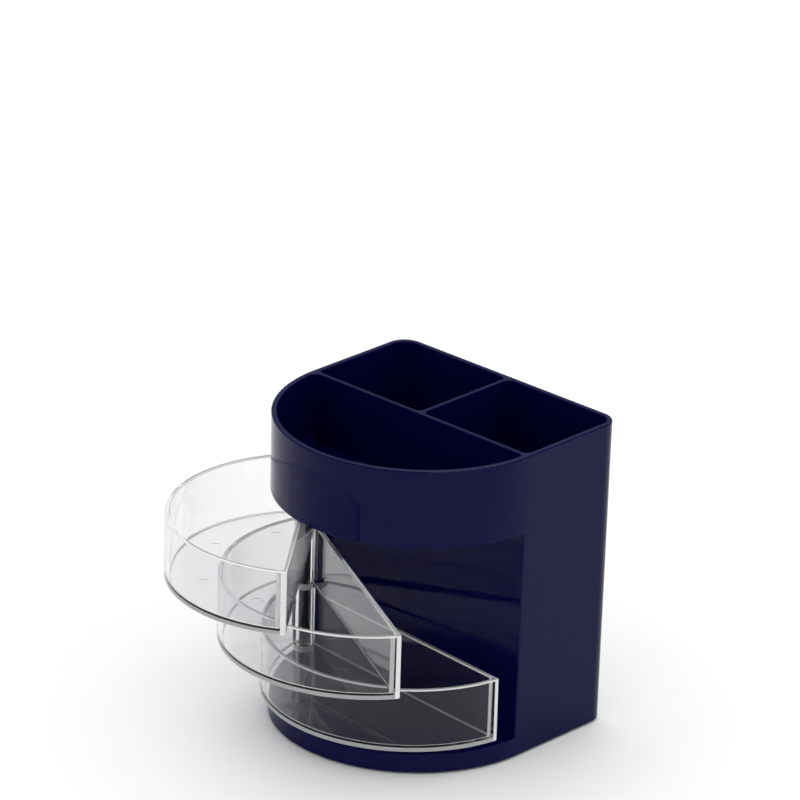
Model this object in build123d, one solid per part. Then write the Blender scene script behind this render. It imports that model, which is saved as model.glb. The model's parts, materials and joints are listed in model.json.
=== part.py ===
from build123d import *
import math
import os

# Desk organizer: a D-shaped housing with three clear trays that swing out on one upright rod.
# Millimetres. +Z is up. The origin is on the ground under the centre of the half-round front.
# X runs to the right along the dividers, Y runs to the back.

# --- driving dimensions: housing ---
HEIGHT = 99.8            # ground to rim
FRONT_R = 45.0           # half-round front, at the rim
BACK_Y = 40.5            # flat back, at the rim
BACK_CORNER_R = 6.4      # upright back corners, at the rim
DRAFT = 0.4              # degrees that every upright wall leans in towards the ground
WALL = 1.8               # outer walls
DIVIDER = 1.5            # long divider and short divider
PARTITION_Y = -1.1       # front face of the long divider, which is also the back of the tray bay
SIDE_WALL_Y = -1.5       # front ends of the two side walls, beside the bay
BAND_Z = 74.6            # underside of the front compartment
COMPARTMENT_FLOOR = 1.8  # floor thickness of the front compartment
DECK_Z = 6.8             # top of the plinth, which is the floor of the bay and of the rear compartments
DECK = 1.8               # deck thickness
SKIRT_Z = 0.5            # lower edge of the plinth, held clear of the ground by the mat
RIB = 1.4                # ribs under the deck
RIM_R = 0.5              # rounding of the rim and of the plinth's lower edge
BAY_EDGE_R = 0.4         # rounding of the outer edges of the bay
FLOOR_R = 0.6            # inside rounding around the floors
POCKET_CORNER_R = 2.0    # upright inside corners of the compartments
BEYOND = 100.0           # far enough out to cut clear through the housing
NEAR = 0.01              # for telling which edges lie at a height or on a face

# --- driving dimensions: underside ---
COVER_GAP = 0.15         # around the base cover
COVER_TOP_Z = 2.5        # the ribs stop here and the cover lies against them
MAT = 1.0                # mat thickness; the flat cover starts on top of it
MAT_MARGIN = 5.0         # cover border around the mat

# --- driving dimensions: trays ---
TRAY_R = 44.9            # curved wall, outside
TRAY_FLAT_Y = -3.0       # flat wall, outside, when closed
TRAY_TIP_R = 3.8         # rounded tip, concentric with the pivot
TRAY_H = 20.6
TRAY_WALL = 1.5
TRAY_FLOOR = 1.5
TRAY_CORNER_R = 0.8      # far corner of the flat wall
TRAY_RIM_R = 0.35        # rounding of the rim, inside and out
TRAY_FOOT_R = 0.5        # rounding of the lower outside edge
TRAY_FIRST_Z = 9.0       # underside of the lowest tray
TRAY_PITCH = 22.2
HUB_R = 2.6
TRAY_OPEN = {"bottom": 4.6, "middle": 28.5, "top": 52.1}  # degrees open, as the trays stand at rest

# --- driving dimensions: pivot ---
ROD_R = 1.5
HUB_CLEARANCE = 0.06     # radial running clearance of hub and washer on the rod
SEAT_CLEARANCE = 0.02    # radial clearance of the fixed seats
ROD_BOTTOM_Z = 2.6
ROD_TOP_Z = 78.4
ROD_CHAMFER = 0.3
SEAT_DEPTH = 4.2         # blind seat of the rod's top end, up from the band's underside
BOSS_R = 3.3             # bosses at both ends of the rod
BOSS_CAP = 1.0           # plastic left over the rod's top end
WASHER_R = 3.2
WASHER = 1.3
WASHER_GAP = 0.15        # between a washer and each neighbour

PIVOT_Y = TRAY_FLAT_Y - TRAY_TIP_R
PIVOT_X = -math.sqrt((TRAY_R - TRAY_TIP_R) ** 2 - PIVOT_Y ** 2)


def d_outline(inset, z):
    """D-shaped face at height z, inset from the rim's outline, with the walls' lean taken off."""
    off = inset + (HEIGHT - z) * math.tan(math.radians(DRAFT))
    r = FRONT_R - off
    y = BACK_Y - off
    c = max(BACK_CORNER_R - off, POCKET_CORNER_R)
    k = c * math.sqrt(0.5)
    with BuildSketch(Plane.XY.offset(z)) as sketch:
        with BuildLine():
            ThreePointArc((-r, 0), (0, -r), (r, 0))
            Line((r, 0), (r, y - c))
            ThreePointArc((r, y - c), (r - c + k, y - c + k), (r - c, y))
            Line((r - c, y), (-r + c, y))
            ThreePointArc((-r + c, y), (-r + c - k, y - c + k), (-r, y - c))
            Line((-r, y - c), (-r, 0))
        make_face()
    return sketch.sketch


def slab(x0, x1, y0, y1, z0, z1):
    """Box between two corners."""
    box = Box(x1 - x0, y1 - y0, z1 - z0)
    return Pos((x0 + x1) / 2, (y0 + y1) / 2, (z0 + z1) / 2) * box


def disc(r, z0, z1, x=PIVOT_X, y=PIVOT_Y):
    """Upright cylinder, on the pivot unless told otherwise."""
    return Pos(x, y, (z0 + z1) / 2) * Cylinder(r, z1 - z0)


def pocket(x0, x1, y0, y1, floor_z):
    """Compartment cut from the rim down to floor_z, its walls leaning in with the housing."""
    window = Pos((x0 + x1) / 2, (y0 + y1) / 2, HEIGHT) * Rectangle(x1 - x0, y1 - y0)
    mouth = d_outline(WALL, HEIGHT) & window
    corners = mouth.vertices()
    at_dividers = [v for v in corners if min(abs(v.Y - y0), abs(v.Y - y1)) < NEAR or abs(v.X) < DIVIDER]
    mouth = fillet(at_dividers, POCKET_CORNER_R)
    return extrude(mouth, amount=-(HEIGHT - floor_z), taper=DRAFT)


def housing():
    """Navy moulding: plinth, partition, side and back walls, front compartment, dividers."""
    body = loft([d_outline(0, SKIRT_Z), d_outline(0, HEIGHT)])
    back_face = PARTITION_Y + DIVIDER
    body -= pocket(-BEYOND, BEYOND, -BEYOND, PARTITION_Y, BAND_Z + COMPARTMENT_FLOOR)
    body -= pocket(-BEYOND, -DIVIDER / 2, back_face, BEYOND, DECK_Z)
    body -= pocket(DIVIDER / 2, BEYOND, back_face, BEYOND, DECK_Z)
    # the bay is open across the whole front, and a step at its back leaves the side walls' ends proud
    body -= slab(-BEYOND, BEYOND, -BEYOND, SIDE_WALL_Y, DECK_Z, BAND_Z)
    mean_lean = (HEIGHT - DECK_Z) / 2 * math.tan(math.radians(DRAFT))
    inner_x = FRONT_R - WALL - mean_lean
    body -= slab(-inner_x, inner_x, -FRONT_R / 2, PARTITION_Y, DECK_Z, BAND_Z)
    # hollow under the deck, with a cross of ribs
    under_z = DECK_Z - DECK
    body -= extrude(d_outline(WALL, SKIRT_Z), amount=under_z - SKIRT_Z)
    rib_span = extrude(d_outline(WALL / 2, COVER_TOP_Z), amount=under_z - COVER_TOP_Z)
    ribs = slab(-BEYOND, BEYOND, -RIB / 2, RIB / 2, COVER_TOP_Z, under_z)
    for x in (-FRONT_R / 2, 0, FRONT_R / 2):
        ribs += slab(x - RIB / 2, x + RIB / 2, -BEYOND, BEYOND, COVER_TOP_Z, under_z)
    body += ribs & rib_span
    # bosses that hold the rod's two ends and carry the washers, joined to the outer wall
    top_of_trays = TRAY_FIRST_Z + 2 * TRAY_PITCH + TRAY_H
    bosses = disc(BOSS_R, COVER_TOP_Z, TRAY_FIRST_Z - WASHER - 2 * WASHER_GAP)
    bosses += disc(BOSS_R, top_of_trays + WASHER_GAP, BAND_Z + SEAT_DEPTH + BOSS_CAP)
    body += bosses & loft([d_outline(WALL / 2, SKIRT_Z), d_outline(WALL / 2, HEIGHT)])
    body -= disc(ROD_R + SEAT_CLEARANCE, COVER_TOP_Z, BAND_Z + SEAT_DEPTH)
    return round_edges(body)


def edges_at(body, z):
    """Edges that lie level at height z."""
    return body.edges().filter_by_position(Axis.Z, z - NEAR, z + NEAR)


def round_edges(body):
    """Round the bay's outer edges, the rim, the plinth's foot and the compartment floors."""
    front_arcs = [e for z in (DECK_Z, BAND_Z) for e in edges_at(body, z) if e.length > 2 * FRONT_R]
    front_arcs = [e for e in front_arcs if e.geom_type == GeomType.CIRCLE]
    wall_ends = body.edges().filter_by_position(Axis.Y, SIDE_WALL_Y - NEAR, SIDE_WALL_Y + NEAR)
    wall_ends = [e for e in wall_ends if e.length > (BAND_Z - DECK_Z) / 2 and outside(e)]
    body = fillet(front_arcs + wall_ends, BAY_EDGE_R)
    body = fillet(edges_at(body, HEIGHT), RIM_R)
    foot = [e for e in edges_at(body, SKIRT_Z) if outside(e)]
    body = fillet(foot, RIM_R)
    rear_floors = [e for e in edges_at(body, DECK_Z) if e.center().Y > 0]
    body = fillet(rear_floors, FLOOR_R)
    return fillet(edges_at(body, BAND_Z + COMPARTMENT_FLOOR), FLOOR_R)


def outside(edge):
    """True for an edge whose middle lies on the housing's outer skin."""
    p = edge @ 0.5
    lean = (HEIGHT - p.Z) * math.tan(math.radians(DRAFT))
    r = FRONT_R - lean
    y = BACK_Y - lean
    c = BACK_CORNER_R - lean
    if p.Y < 0:
        distance = r - math.hypot(p.X, p.Y)
    elif abs(p.X) > r - c and p.Y > y - c:
        distance = c - math.hypot(abs(p.X) - r + c, p.Y - y + c)
    else:
        distance = min(r - abs(p.X), y - p.Y)
    return distance < WALL / 2


def base_cover():
    """Flat cover inside the plinth's skirt, which closes the hollow under the deck."""
    return extrude(d_outline(WALL + COVER_GAP, MAT), amount=COVER_TOP_Z - MAT)


def non_slip_mat():
    """Thin mat under the cover, which the organizer stands on."""
    return extrude(d_outline(WALL + COVER_GAP + MAT_MARGIN, 0), amount=MAT)


def pivot_rod():
    """Steel rod through all three hubs."""
    rod = disc(ROD_R, ROD_BOTTOM_Z, ROD_TOP_Z)
    ends = rod.edges().filter_by(GeomType.CIRCLE)
    return chamfer(ends, ROD_CHAMFER)


def washer(tray_z):
    """Thrust washer just under a tray's hub."""
    top = tray_z - WASHER_GAP
    ring = disc(WASHER_R, top - WASHER, top)
    return ring - disc(ROD_R + HUB_CLEARANCE, top - WASHER, top)


def tray_outline(inset, z):
    """Half-disc face of a closed tray, inset from its outside, with the rounded tip on the pivot."""
    r = TRAY_R - inset
    flat = TRAY_FLAT_Y - inset
    tip = TRAY_TIP_R - inset
    corner = TRAY_CORNER_R if inset == 0 else TRAY_CORNER_R / 2
    pivot_distance = math.hypot(PIVOT_X, PIVOT_Y)
    tangent = (PIVOT_X * r / pivot_distance, PIVOT_Y * r / pivot_distance)
    far_x = math.sqrt(r ** 2 - flat ** 2)
    half = tip * math.sqrt(0.5)
    with BuildSketch(Plane.XY.offset(z)) as sketch:
        with BuildLine():
            ThreePointArc((far_x, flat), (0, -r), tangent)
            ThreePointArc(tangent, (PIVOT_X - half, PIVOT_Y + half), (PIVOT_X, flat))
            Line((PIVOT_X, flat), (far_x, flat))
        make_face()
        fillet(sketch.vertices().sort_by(Axis.X)[-1], corner)
    return sketch.sketch


def tray(z, open_deg):
    """Clear tray with its hub, swung out by open_deg about the rod."""
    top = z + TRAY_H
    shell = extrude(tray_outline(0, z), amount=TRAY_H)
    shell -= extrude(tray_outline(TRAY_WALL, z + TRAY_FLOOR), amount=TRAY_H)
    shell += disc(HUB_R, z, top)
    shell = fillet(edges_at(shell, top), TRAY_RIM_R)
    shell = fillet(edges_at(shell, z), TRAY_FOOT_R)
    shell = fillet(edges_at(shell, z + TRAY_FLOOR), FLOOR_R)
    shell -= disc(ROD_R + HUB_CLEARANCE, z, top)
    pivot = Axis((PIVOT_X, PIVOT_Y, 0), (0, 0, 1))
    return shell.rotate(pivot, -open_deg)


def main():
    os.makedirs("parts", exist_ok=True)
    pieces = {
        "housing": housing(),
        "base_cover": base_cover(),
        "non_slip_mat": non_slip_mat(),
        "pivot_rod": pivot_rod(),
    }
    for level, (name, open_deg) in enumerate(TRAY_OPEN.items()):
        z = TRAY_FIRST_Z + level * TRAY_PITCH
        pieces[name + "_tray"] = tray(z, open_deg)
        pieces[name + "_washer"] = washer(z)
    for name, shape in pieces.items():
        shape.label = name
        export_step(shape, "parts/" + name + ".step")
    print("pivot at", round(PIVOT_X, 3), round(PIVOT_Y, 3))


main()
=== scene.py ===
import json
import math

import bpy
import bmesh
from mathutils import Matrix, Vector


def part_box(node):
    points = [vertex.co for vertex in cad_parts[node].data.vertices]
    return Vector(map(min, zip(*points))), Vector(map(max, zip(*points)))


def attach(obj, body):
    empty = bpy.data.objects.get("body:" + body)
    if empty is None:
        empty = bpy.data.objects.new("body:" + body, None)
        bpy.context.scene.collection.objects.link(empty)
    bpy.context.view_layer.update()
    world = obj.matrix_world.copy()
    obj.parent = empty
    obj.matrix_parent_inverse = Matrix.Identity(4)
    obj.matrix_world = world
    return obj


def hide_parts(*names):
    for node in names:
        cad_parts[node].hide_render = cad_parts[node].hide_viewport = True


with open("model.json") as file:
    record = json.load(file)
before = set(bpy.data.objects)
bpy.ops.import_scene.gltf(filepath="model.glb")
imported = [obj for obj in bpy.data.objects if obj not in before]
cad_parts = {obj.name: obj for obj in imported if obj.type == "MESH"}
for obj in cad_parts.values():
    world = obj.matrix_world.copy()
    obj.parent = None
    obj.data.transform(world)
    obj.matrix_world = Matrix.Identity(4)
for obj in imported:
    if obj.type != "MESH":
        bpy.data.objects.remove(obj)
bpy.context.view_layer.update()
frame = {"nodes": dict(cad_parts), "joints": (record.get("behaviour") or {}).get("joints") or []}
MM = 0.001
LEVELS = ("bottom", "middle", "top")

# ---------------------------------------------------------------- camera
# The organizer is seen from the front right, a little from above, with a long lens.
AZIMUTH = math.radians(42.914)      # camera's bearing, to the right of straight in front
ELEVATION = math.radians(22.908)
ROLL = math.radians(1.668)
DISTANCE = 1.8146                   # from the camera's plane to AIM, along the view
AIM = Vector((0, 0, 0.0506))
AIM_RIGHT = 0.00484                 # where AIM lies in the view, right and up of its centre
AIM_UP = -0.0489
FOCAL = 7.448375                    # focal length in frame widths
SENSOR = 36                         # sensor width in mm


def add_camera():
    """Camera placed by the direction it looks in and by where AIM lies in its view."""
    forward = Vector((
        -math.sin(AZIMUTH) * math.cos(ELEVATION),
        math.cos(AZIMUTH) * math.cos(ELEVATION),
        -math.sin(ELEVATION),
    ))
    level_right = Vector((math.cos(AZIMUTH), math.sin(AZIMUTH), 0))
    level_up = level_right.cross(forward)
    right = math.cos(ROLL) * level_right + math.sin(ROLL) * level_up
    up = math.cos(ROLL) * level_up - math.sin(ROLL) * level_right
    data = bpy.data.cameras.new("camera")
    data.sensor_width = SENSOR
    data.lens = FOCAL * SENSOR
    data.clip_start = 0.05
    data.clip_end = 50
    camera = bpy.data.objects.new("camera", data)
    bpy.context.scene.collection.objects.link(camera)
    place = AIM - AIM_RIGHT * right - AIM_UP * up - DISTANCE * forward
    turn = Matrix((right, up, -forward)).transposed()
    camera.matrix_world = Matrix.Translation(place) @ turn.to_4x4()
    bpy.context.scene.camera = camera


# ---------------------------------------------------------------- material helpers
COLOR_A = 6         # a Mix node's sockets for colours
COLOR_B = 7
COLOR_RESULT = 2


def new_material(name):
    """Empty node material with its output; returns the material and its node tree."""
    material = bpy.data.materials.new(name)
    material.use_nodes = True
    tree = material.node_tree
    tree.nodes.clear()
    output = tree.nodes.new("ShaderNodeOutputMaterial")
    output.name = "output"
    return material, tree


def node(tree, kind, inputs=None, **settings):
    """New node with its settings and input values; an input given as a socket is linked."""
    made = tree.nodes.new(kind)
    for key, value in settings.items():
        setattr(made, key, value)
    for key, value in (inputs or {}).items():
        if isinstance(value, bpy.types.NodeSocket):
            tree.links.new(value, made.inputs[key])
        else:
            made.inputs[key].default_value = value
    return made


def place(tree):
    """Object coordinates, in metres."""
    return node(tree, "ShaderNodeTexCoord").outputs["Object"]


def noise(tree, scale, detail=4.0, roughness=0.55):
    """Seamless 3-D noise, 0 to 1."""
    inputs = {"Vector": place(tree), "Scale": scale, "Detail": detail, "Roughness": roughness}
    return node(tree, "ShaderNodeTexNoise", inputs).outputs["Fac"]


def spread(tree, value, low, high, start=0.3, end=0.7):
    """Value mapped from start..end to low..high."""
    inputs = {"Value": value, "From Min": start, "From Max": end, "To Min": low, "To Max": high}
    return node(tree, "ShaderNodeMapRange", inputs).outputs["Result"]


def bump(tree, height, distance, strength=1.0):
    """Bump from a height in 0..1 times distance."""
    inputs = {"Height": height, "Distance": distance, "Strength": strength}
    return node(tree, "ShaderNodeBump", inputs).outputs["Normal"]


def blend(tree, value, first, second):
    """Colour between first and second by value."""
    mix = node(tree, "ShaderNodeMix", {"Factor": value}, data_type="RGBA")
    mix.inputs[COLOR_A].default_value = (*first, 1)
    mix.inputs[COLOR_B].default_value = (*second, 1)
    return mix.outputs[COLOR_RESULT]


def surface(tree, shader):
    """Make the shader the material's surface."""
    tree.links.new(shader.outputs[0], tree.nodes["output"].inputs["Surface"])


# ---------------------------------------------------------------- materials
def navy_plastic():
    """Glossy injection-moulded navy, with a faint flow pattern and a slightly uneven polish."""
    material, tree = new_material("navy_plastic")
    tone = spread(tree, noise(tree, 28, 3), 0, 1)
    color = blend(tree, tone, (0.0013, 0.0015, 0.038), (0.0018, 0.0020, 0.044))
    polish = spread(tree, noise(tree, 160, 5), 0.06, 0.11)
    peel = bump(tree, noise(tree, 420, 2), 0.012 * MM)
    shader = node(tree, "ShaderNodeBsdfPrincipled", {
        "Base Color": color,
        "Roughness": polish,
        "Specular IOR Level": 0.105,
        "Normal": peel,
    })
    surface(tree, shader)
    return material


def clear_plastic(name, low, high, clearness):
    """Clear polystyrene: solid walls that refract, and that let light through onto what is behind.
    Its roughness varies from low to high, and clearness is how much passes instead of scattering."""
    material, tree = new_material(name)
    shader = node(tree, "ShaderNodeBsdfPrincipled", {
        "Base Color": (0.92, 0.915, 0.925, 1),
        "Roughness": spread(tree, noise(tree, 90, 3), low, high),
        "IOR": 1.5,
        "Specular Tint": (0.4, 0.4, 0.4, 1),
        "Transmission Weight": clearness,
        "Normal": bump(tree, noise(tree, 60, 2), 0.02 * MM),
    })
    clear = node(tree, "ShaderNodeBsdfTransparent", {"Color": (0.93, 0.93, 0.94, 1)})
    shadow = node(tree, "ShaderNodeLightPath").outputs["Is Shadow Ray"]
    mix = node(tree, "ShaderNodeMixShader", {0: shadow, 1: shader.outputs[0], 2: clear.outputs[0]})
    surface(tree, mix)
    return material


def rod_steel():
    """Blackened drawn steel with fine lines along its length."""
    material, tree = new_material("rod_steel")
    stretch = node(tree, "ShaderNodeMapping", {"Vector": place(tree), "Scale": (1.0, 1.0, 0.02)})
    inputs = {"Vector": stretch.outputs[0], "Scale": 4000, "Detail": 3}
    lines = node(tree, "ShaderNodeTexNoise", inputs).outputs["Fac"]
    shader = node(tree, "ShaderNodeBsdfPrincipled", {
        "Base Color": (0.05, 0.05, 0.06, 1),
        "Metallic": 1.0,
        "Roughness": spread(tree, lines, 0.22, 0.36),
        "Normal": bump(tree, lines, 0.003 * MM),
    })
    surface(tree, shader)
    return material


def white_nylon():
    """Natural nylon, a little uneven and waxy."""
    material, tree = new_material("white_nylon")
    color = blend(tree, noise(tree, 900, 2), (0.70, 0.70, 0.66), (0.80, 0.80, 0.76))
    shader = node(tree, "ShaderNodeBsdfPrincipled", {
        "Base Color": color,
        "Roughness": 0.42,
        "Subsurface Weight": 0.2,
        "Subsurface Scale": 0.4 * MM,
        "Normal": bump(tree, noise(tree, 2500, 3), 0.01 * MM),
    })
    surface(tree, shader)
    return material


def foam_rubber():
    """Black closed-cell foam: fine cells over the whole face."""
    material, tree = new_material("foam_rubber")
    inputs = {"Vector": place(tree), "Scale": 2600}
    cells = node(tree, "ShaderNodeTexVoronoi", inputs).outputs["Distance"]
    color = blend(tree, cells, (0.010, 0.010, 0.011), (0.030, 0.030, 0.032))
    shader = node(tree, "ShaderNodeBsdfPrincipled", {
        "Base Color": color,
        "Roughness": 0.85,
        "Normal": bump(tree, cells, 0.08 * MM, 0.8),
    })
    surface(tree, shader)
    return material


def navy_satin():
    """The housing's navy with a fine spark-eroded texture, for the base cover."""
    material, tree = new_material("navy_satin")
    grain = noise(tree, 3200, 3)
    shader = node(tree, "ShaderNodeBsdfPrincipled", {
        "Base Color": (0.0025, 0.003, 0.05, 1),
        "Roughness": spread(tree, grain, 0.38, 0.5),
        "Specular IOR Level": 0.3,
        "Normal": bump(tree, grain, 0.02 * MM),
    })
    surface(tree, shader)
    return material


def pale_floor():
    """Matt white sweep with a barely uneven tone."""
    material, tree = new_material("pale_floor")
    color = blend(tree, noise(tree, 6, 3), (0.88, 0.88, 0.88), (0.90, 0.90, 0.90))
    shader = node(tree, "ShaderNodeBsdfPrincipled", {
        "Base Color": color,
        "Roughness": 0.9,
        "Specular IOR Level": 0.1,
    })
    surface(tree, shader)
    return material


# ---------------------------------------------------------------- rounded outlines
# An outline is a list of arcs (x, y, radius, from, to, steps), angles in degrees, run anticlockwise
# round the area it encloses. Straight runs join the end of one arc to the start of the next.
# A negative radius is an arc that bites into the area and is run clockwise.
SAME = 1e-4    # mm; nearer points are one point, as where two arcs touch
FAINT_PAINTED_HIGHLIGHT = 1       # a little milky edge: a faint painted highlight
PAINTED_HIGHLIGHT = 2     # a milky white edge standing in for its gleam: a painted highlight
PAINTED_HIGHLIGHT_FOOT = 60    # degrees of the foot's rounding that carry the painted highlight, counted from below
CIRCLE_STEPS = 32


def outline_points(arcs, grow):
    """Points and outward directions of an outline whose area has grown by grow on every side."""
    points = []
    for x, y, radius, start, end, steps in arcs:
        bite = -1 if radius < 0 else 1
        reach = abs(radius) + bite * grow
        for k in range(steps + 1):
            angle = math.radians(start + (end - start) * k / steps)
            direction = Vector((math.cos(angle), math.sin(angle)))
            point = Vector((x, y)) + reach * direction
            if not points or (point - points[-1][0]).length > SAME:
                points.append((point, bite * direction))
    return points


class Shell:
    """Mesh built from level loops, with exact normals at every vertex."""

    def __init__(self):
        self.bm = bmesh.new()
        self.normals = []
        # painted highlight level of each vertex, a milky white standing in for an edge's gleam
        self.edge = []

    def loop(self, arcs, grow, z, tilt, outward=1, edge=0, corner=None):
        """One level loop; its normals lean tilt degrees up from level.
        Its last arguments set the painted highlight on the edge it lies on, a milky white standing in
        for the edge's gleam, full near the point corner."""
        verts = []
        rise = math.sin(math.radians(tilt))
        level = math.cos(math.radians(tilt)) * outward
        for point, direction in outline_points(arcs, grow):
            verts.append(self.bm.verts.new((point.x, point.y, z)))
            self.normals.append(Vector((direction.x * level, direction.y * level, rise)).normalized())
            at_corner = corner is not None and (point - corner).length < CORNER_HIGHLIGHT_REACH
            self.edge.append(PAINTED_HIGHLIGHT if at_corner else edge)
        return verts

    def skin(self, loops):
        """Quads between loops that follow one another."""
        for low, high in zip(loops, loops[1:]):
            count = len(low)
            for k in range(count):
                j = (k + 1) % count
                self.bm.faces.new((low[k], low[j], high[j], high[k]))

    def cap(self, loops, up):
        """Level face between an outer loop and any loops inside it."""
        edges = []
        for verts in loops:
            for k, vert in enumerate(verts):
                pair = (vert, verts[(k + 1) % len(verts)])
                edges.append(self.bm.edges.get(pair) or self.bm.edges.new(pair))
        filled = bmesh.ops.triangle_fill(self.bm, edges=edges, use_beauty=True, normal=(0, 0, up))
        for face in filled["geom"]:
            if isinstance(face, bmesh.types.BMFace):
                face.normal_update()
                if face.normal.z * up < 0:
                    face.normal_flip()

    def round_wall(self, arcs, low, high, edge_r, side):
        """Upright wall with rounded edges, where side is 1 round the solid and -1 round a bore;
        returns its lowest and its highest loop."""
        loops = []
        for a in quarter(3):
            r = math.radians(a)
            z = low + edge_r * (1 - math.cos(r))
            loops.append(self.loop(arcs, -side * edge_r * (1 - math.sin(r)), z, a - 90, side))
        for a in quarter(3):
            r = math.radians(a)
            z = high - edge_r * (1 - math.sin(r))
            loops.append(self.loop(arcs, -side * edge_r * (1 - math.cos(r)), z, a, side))
        self.skin(loops[::side])
        return loops[0], loops[-1]

    def dimple(self, x, y, radius, z, up):
        """Shallow round mark in a level face; returns its edge, which the face is capped to."""
        mark = circle(x, y, radius)
        steepest = 2 * math.degrees(math.atan(MARK_DEPTH / MARK_SLOPE))
        rings = []
        for part, lean in ((0, 0), (0.5, steepest), (1, 0)):
            depth = part * MARK_DEPTH
            rings.append(self.loop(mark, -part * MARK_SLOPE, z - up * depth, up * (90 - lean), -1))
        self.skin(rings if up > 0 else rings[::-1])
        self.cap([rings[-1]], up)
        return rings[0]

    def done(self, name, materials):
        """Finished object with smooth, exact shading; the further materials are painted highlights on
        edges, a milky white standing in for their gleam.
        """
        mesh = bpy.data.meshes.new(name)
        self.bm.verts.index_update()
        self.bm.to_mesh(mesh)
        self.bm.free()
        for polygon in mesh.polygons:
            polygon.use_smooth = True
            # each face takes the weakest painted highlight of its corners; faces facing up get at
            # most the faint one, faces facing down none
            highlight_level = min(self.edge[k] for k in polygon.vertices)
            if polygon.normal.z > 1 - SAME:
                highlight_level = min(highlight_level, FAINT_PAINTED_HIGHLIGHT)
            elif polygon.normal.z < SAME - 1:
                highlight_level = 0
            polygon.material_index = highlight_level
        mesh.normals_split_custom_set_from_vertices(self.normals)
        for material in materials:
            mesh.materials.append(material)
        made = bpy.data.objects.new(name, mesh)
        bpy.context.scene.collection.objects.link(made)
        return made


def quarter(count=5):
    """Angles of the steps round an edge, 0 to 90."""
    return [90 * k / count for k in range(count + 1)]


# ---------------------------------------------------------------- trays
# Sizes in mm, in the frame of a closed tray: the same half disc as in the CAD.
TRAY_R = 44.9
TRAY_FLAT_Y = -3.0
TIP_R = 3.8
WALL = 1.5
FLOOR = 1.5
CORNER_R = 0.8
RIM_R = 0.35
FOOT_R = 0.5
FILLET_R = 0.6
HUB_R = 2.6
HUB_FILLET_R = 0.8
BORE_R = 1.56
BORE_EDGE_R = 0.15
WASHER_EDGE_R = 0.3
HIGHLIGHT_FADE = 0.25     # how far a painted highlight reaches past its edge's rounding
CORNER_HIGHLIGHT_REACH = 1.3    # reach of the painted highlight round the far corner
INNER_DRAFT = math.tan(math.radians(0.5))
PIVOT_Y = TRAY_FLAT_Y - TIP_R
PIVOT_X = -math.sqrt((TRAY_R - TIP_R) ** 2 - PIVOT_Y ** 2)
PINS = ((-24, -14), (-13, -31), (13, -31), (24, -14))
PIN_R = 2.0          # ejector-pin marks on the tray floor
GATE = (0, -22)
GATE_R = 1.2         # gate mark under the floor
MARK_DEPTH = 0.05
MARK_SLOPE = 0.5     # width of a mark's sloping edge


def bearing(x, y):
    """Direction of a vector, 0 to 360 degrees."""
    return math.degrees(math.atan2(y, x)) % 360


def corner_center(radius, flat):
    """Centre of the far corner's rounding, touching the curved wall and the flat wall."""
    y = flat - CORNER_R
    return math.sqrt((radius - CORNER_R) ** 2 - y ** 2), y


def tray_outside():
    """Outline of the whole tray."""
    tip = bearing(PIVOT_X, PIVOT_Y)
    x, y = corner_center(TRAY_R, TRAY_FLAT_Y)
    corner = bearing(x, y)
    return [
        (PIVOT_X, PIVOT_Y, TIP_R, 90, tip, 16),
        (0, 0, TRAY_R, tip, corner - 1, 144),
        (0, 0, TRAY_R, corner - 1, corner, 2),
        (x, y, CORNER_R, corner - 360, 90, 8),
        # two short steps along the flat wall, where the corner's painted highlight fades out
        (x - HIGHLIGHT_FADE, y, CORNER_R, 90, 90, 1),
        (x - 2 * HIGHLIGHT_FADE, y, CORNER_R, 90, 90, 1),
    ]


def tray_pocket():
    """Outline of the hollow, which runs round the hub."""
    radius = TRAY_R - WALL
    flat = TRAY_FLAT_Y - WALL
    reach = HUB_R + HUB_FILLET_R
    # rounding between the flat wall and the hub
    upper_y = flat - HUB_FILLET_R
    upper_x = PIVOT_X + math.sqrt(reach ** 2 - (PIVOT_Y - upper_y) ** 2)
    upper = bearing(upper_x - PIVOT_X, upper_y - PIVOT_Y)
    # rounding between the hub and the curved wall
    far = math.hypot(PIVOT_X, PIVOT_Y)
    cosine = (far ** 2 + reach ** 2 - (radius - HUB_FILLET_R) ** 2) / (2 * far * reach)
    lower = bearing(-PIVOT_X, -PIVOT_Y) - math.degrees(math.acos(cosine))
    lower_x = PIVOT_X + reach * math.cos(math.radians(lower))
    lower_y = PIVOT_Y + reach * math.sin(math.radians(lower))
    x, y = corner_center(radius, flat)
    corner = bearing(x, y)
    return [
        (upper_x, upper_y, HUB_FILLET_R, 90, upper + 180, 10),
        (PIVOT_X, PIVOT_Y, -HUB_R, upper, lower, 20),
        (lower_x, lower_y, HUB_FILLET_R, lower + 180, bearing(lower_x, lower_y), 10),
        (0, 0, radius, bearing(lower_x, lower_y), corner - 1, 140),
        (0, 0, radius, corner - 1, corner, 2),
        (x, y, CORNER_R, corner - 360, 90, 8),
        # two short steps along the flat wall, where the corner's painted highlight fades out
        (x - HIGHLIGHT_FADE, y, CORNER_R, 90, 90, 1),
        (x - 2 * HIGHLIGHT_FADE, y, CORNER_R, 90, 90, 1),
    ]


def circle(x, y, radius):
    """Whole circle as an outline; its last point is left out so that it closes on its first."""
    return [(x, y, radius, 0, 360 - 360 / CIRCLE_STEPS, CIRCLE_STEPS - 1)]


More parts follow.
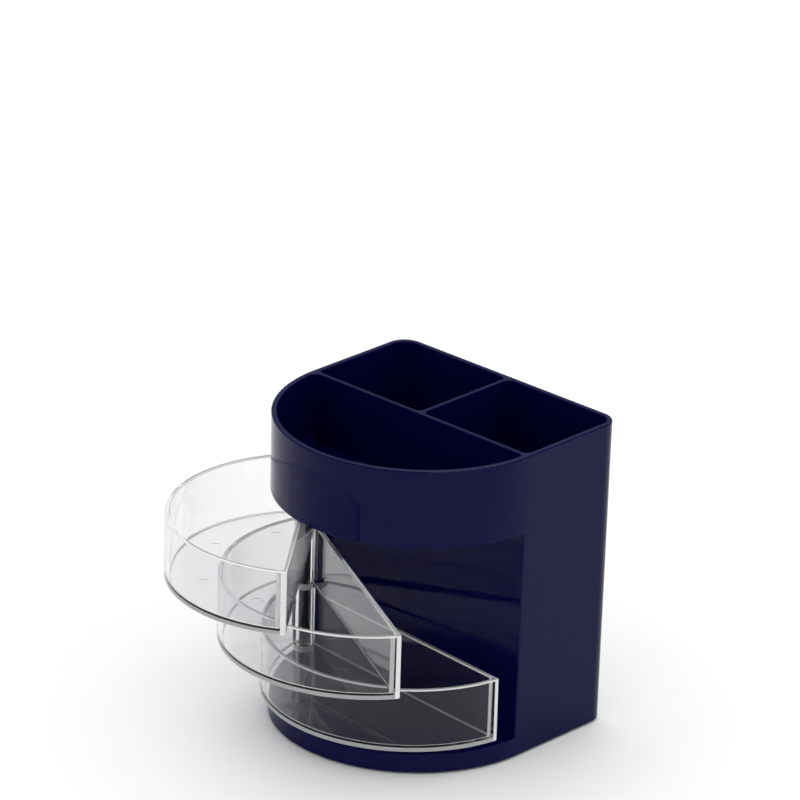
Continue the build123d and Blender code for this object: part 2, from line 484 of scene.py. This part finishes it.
def tray_mesh(name, height, materials):
    """Clear tray at the height 0, closed."""
    shell = Shell()
    outside = tray_outside()
    pocket = tray_pocket()
    bore = circle(PIVOT_X, PIVOT_Y, BORE_R)

    corner = Vector(corner_center(TRAY_R, TRAY_FLAT_Y))
    loops = []
    for a in quarter():
        r = math.radians(a)
        grow = -FOOT_R * (1 - math.sin(r))
        z = FOOT_R * (1 - math.cos(r))
        # painted highlight on the foot: full on its lower rounding, faint above
        highlight_level = PAINTED_HIGHLIGHT if a < PAINTED_HIGHLIGHT_FOOT else FAINT_PAINTED_HIGHLIGHT
        loops.append(shell.loop(outside, grow, z, a - 90, 1, highlight_level, corner))
    loops.append(shell.loop(outside, 0, FLOOR, 0, 1, FAINT_PAINTED_HIGHLIGHT, corner))
    for z in (FLOOR + HIGHLIGHT_FADE, height - RIM_R - HIGHLIGHT_FADE):
        loops.append(shell.loop(outside, 0, z, 0, 1, 0, corner))
    # the rim's rounding carries the full painted highlight
    for a in quarter():
        r = math.radians(a)
        grow = -RIM_R * (1 - math.cos(r))
        z = height - RIM_R * (1 - math.sin(r))
        loops.append(shell.loop(outside, grow, z, a, 1, PAINTED_HIGHLIGHT, corner))
    shell.skin(loops)
    foot, rim = loops[0], loops[-1]

    corner = Vector(corner_center(TRAY_R - WALL, TRAY_FLAT_Y - WALL))
    loops = []
    # the inner rim's rounding carries the full painted highlight
    for a in reversed(quarter()):
        r = math.radians(a)
        grow = RIM_R * (1 - math.cos(r))
        z = height - RIM_R * (1 - math.sin(r))
        loops.append(shell.loop(pocket, grow, z, a, -1, PAINTED_HIGHLIGHT, corner))
    lean = (height - FLOOR) * INNER_DRAFT
    for z in (height - RIM_R - HIGHLIGHT_FADE, FLOOR + FILLET_R + HIGHLIGHT_FADE):
        grow = -lean * (height - z) / (height - FLOOR)
        loops.append(shell.loop(pocket, grow, z, 0, -1, 0, corner))
    for a in quarter():
        r = math.radians(a)
        grow = -lean - FILLET_R * (1 - math.cos(r))
        loops.append(shell.loop(pocket, grow, FLOOR + FILLET_R * (1 - math.sin(r)), a, -1, 0, corner))
    shell.skin(loops)
    inner_rim, inner_floor = loops[0], loops[-1]

    bore_foot, bore_rim = shell.round_wall(bore, 0, height, BORE_EDGE_R, -1)
    shell.cap([rim, inner_rim, bore_rim], 1)

    # shallow marks of four ejector pins in the floor, and of the gate underneath
    pins = [shell.dimple(x, y, PIN_R, FLOOR, 1) for x, y in PINS]
    shell.cap([inner_floor] + pins, 1)
    gate = shell.dimple(*GATE, GATE_R, 0, -1)
    shell.cap([foot, bore_foot, gate], -1)

    made = shell.done(name, materials)
    made.data.transform(Matrix.Scale(MM, 4))
    return made


def add_tray(level, materials):
    """Tray at its own height, swung out about the rod as far as it stands at rest."""
    body = level + "_tray"
    joint = next(j for j in frame["joints"] if j["child"] == body)
    low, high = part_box(body)
    made = tray_mesh(body + "_clear", (high[2] - low[2]) / MM, materials)
    pivot = Vector((joint["pos_m"][0], joint["pos_m"][1], 0))
    opened = math.radians(joint["range_deg"][0])
    to_pivot = Matrix.Translation(pivot)
    turn = to_pivot @ Matrix.Rotation(opened, 4, "Z") @ to_pivot.inverted()
    made.data.transform(Matrix.Translation((0, 0, low[2])) @ turn)
    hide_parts(body)
    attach(made, body)


def add_washer(level, material):
    """Ring with rounded edges under a tray's hub."""
    node_name = level + "_washer"
    low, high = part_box(node_name)
    shell = Shell()
    outer = circle(PIVOT_X, PIVOT_Y, (high[0] - low[0]) / 2 / MM)
    inner = circle(PIVOT_X, PIVOT_Y, BORE_R)
    foot, rim = shell.round_wall(outer, low[2] / MM, high[2] / MM, WASHER_EDGE_R, 1)
    bore_foot, bore_rim = shell.round_wall(inner, low[2] / MM, high[2] / MM, BORE_EDGE_R, -1)
    shell.cap([rim, bore_rim], 1)
    shell.cap([foot, bore_foot], -1)
    made = shell.done(node_name + "_ring", [material])
    made.data.transform(Matrix.Scale(MM, 4))
    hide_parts(node_name)
    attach(made, "housing")


# ---------------------------------------------------------------- stage
FLOOR_SIZE = 30      # metres
BOUNCES = 24         # light passes the walls of several trays, at two faces each
SKY_LOW = 0.2        # heights on the sky where its reflected gradient starts and ends
SKY_HIGH = 0.8


def add_floor():
    """Plain floor that the organizer stands on."""
    bpy.ops.mesh.primitive_plane_add(size=FLOOR_SIZE)
    floor = bpy.context.object
    floor.name = "floor"
    floor.data.materials.append(pale_floor())


def add_light(name, size, power, bearing_deg, height_deg, distance, aim=(0, 0, 0.05)):
    """Square soft light, placed by its bearing and height as seen from the organizer."""
    data = bpy.data.lights.new(name, "AREA")
    data.size = size
    data.energy = power
    light = bpy.data.objects.new(name, data)
    bpy.context.scene.collection.objects.link(light)
    a, b = math.radians(bearing_deg), math.radians(height_deg)
    away = Vector((math.cos(a) * math.cos(b), math.sin(a) * math.cos(b), math.sin(b)))
    light.location = Vector(aim) + distance * away
    light.rotation_euler = away.to_track_quat("Z", "Y").to_euler()
    light.visible_camera = False


def add_world(strength, low, high):
    """White studio of the given strength, except in reflections, which see it
    rise from low at the sides to high overhead."""
    world = bpy.data.worlds.new("studio")
    world.use_nodes = True
    tree = world.node_tree
    background = tree.nodes["Background"]
    background.inputs["Color"].default_value = (1, 1, 1, 1)
    sky = node(tree, "ShaderNodeTexCoord").outputs["Generated"]
    rise = node(tree, "ShaderNodeSeparateXYZ", {0: sky}).outputs["Z"]
    mirrored = node(tree, "ShaderNodeLightPath").outputs["Glossy Depth"]
    graded = spread(tree, rise, low, high, SKY_LOW, SKY_HIGH)
    mix = node(tree, "ShaderNodeMix", {0: mirrored, 2: strength, 3: graded})
    tree.links.new(mix.outputs[0], background.inputs["Strength"])
    bpy.context.scene.world = world


# ---------------------------------------------------------------- build
add_camera()
navy = navy_plastic()
# clear plastic, then two whiter, less clear kinds laid on edges as a faint and a full painted
# highlight
clear = [
    clear_plastic("clear_plastic", 0.01, 0.03, 1.0),
    clear_plastic("clear_faint_painted_highlight", 0.05, 0.15, 0.6),
    clear_plastic("clear_painted_highlight", 0.1, 0.2, 0.15),
]
finishes = {
    "housing": navy,
    "base_cover": navy_satin(),
    "non_slip_mat": foam_rubber(),
    "pivot_rod": rod_steel(),
}
for name, material in finishes.items():
    mesh = frame["nodes"][name].data
    mesh.materials.clear()
    mesh.materials.append(material)
nylon = white_nylon()
for level in LEVELS:
    add_tray(level, clear)
    add_washer(level, nylon)

add_floor()
add_world(strength=0.87, low=0.15, high=1.1)
add_light("top_softbox", size=0.9, power=5.5, bearing_deg=100, height_deg=75, distance=1.1)

scene = bpy.context.scene
scene.view_settings.view_transform = "Standard"
scene.cycles.max_bounces = BOUNCES
scene.cycles.transmission_bounces = BOUNCES
scene.cycles.transparent_max_bounces = BOUNCES
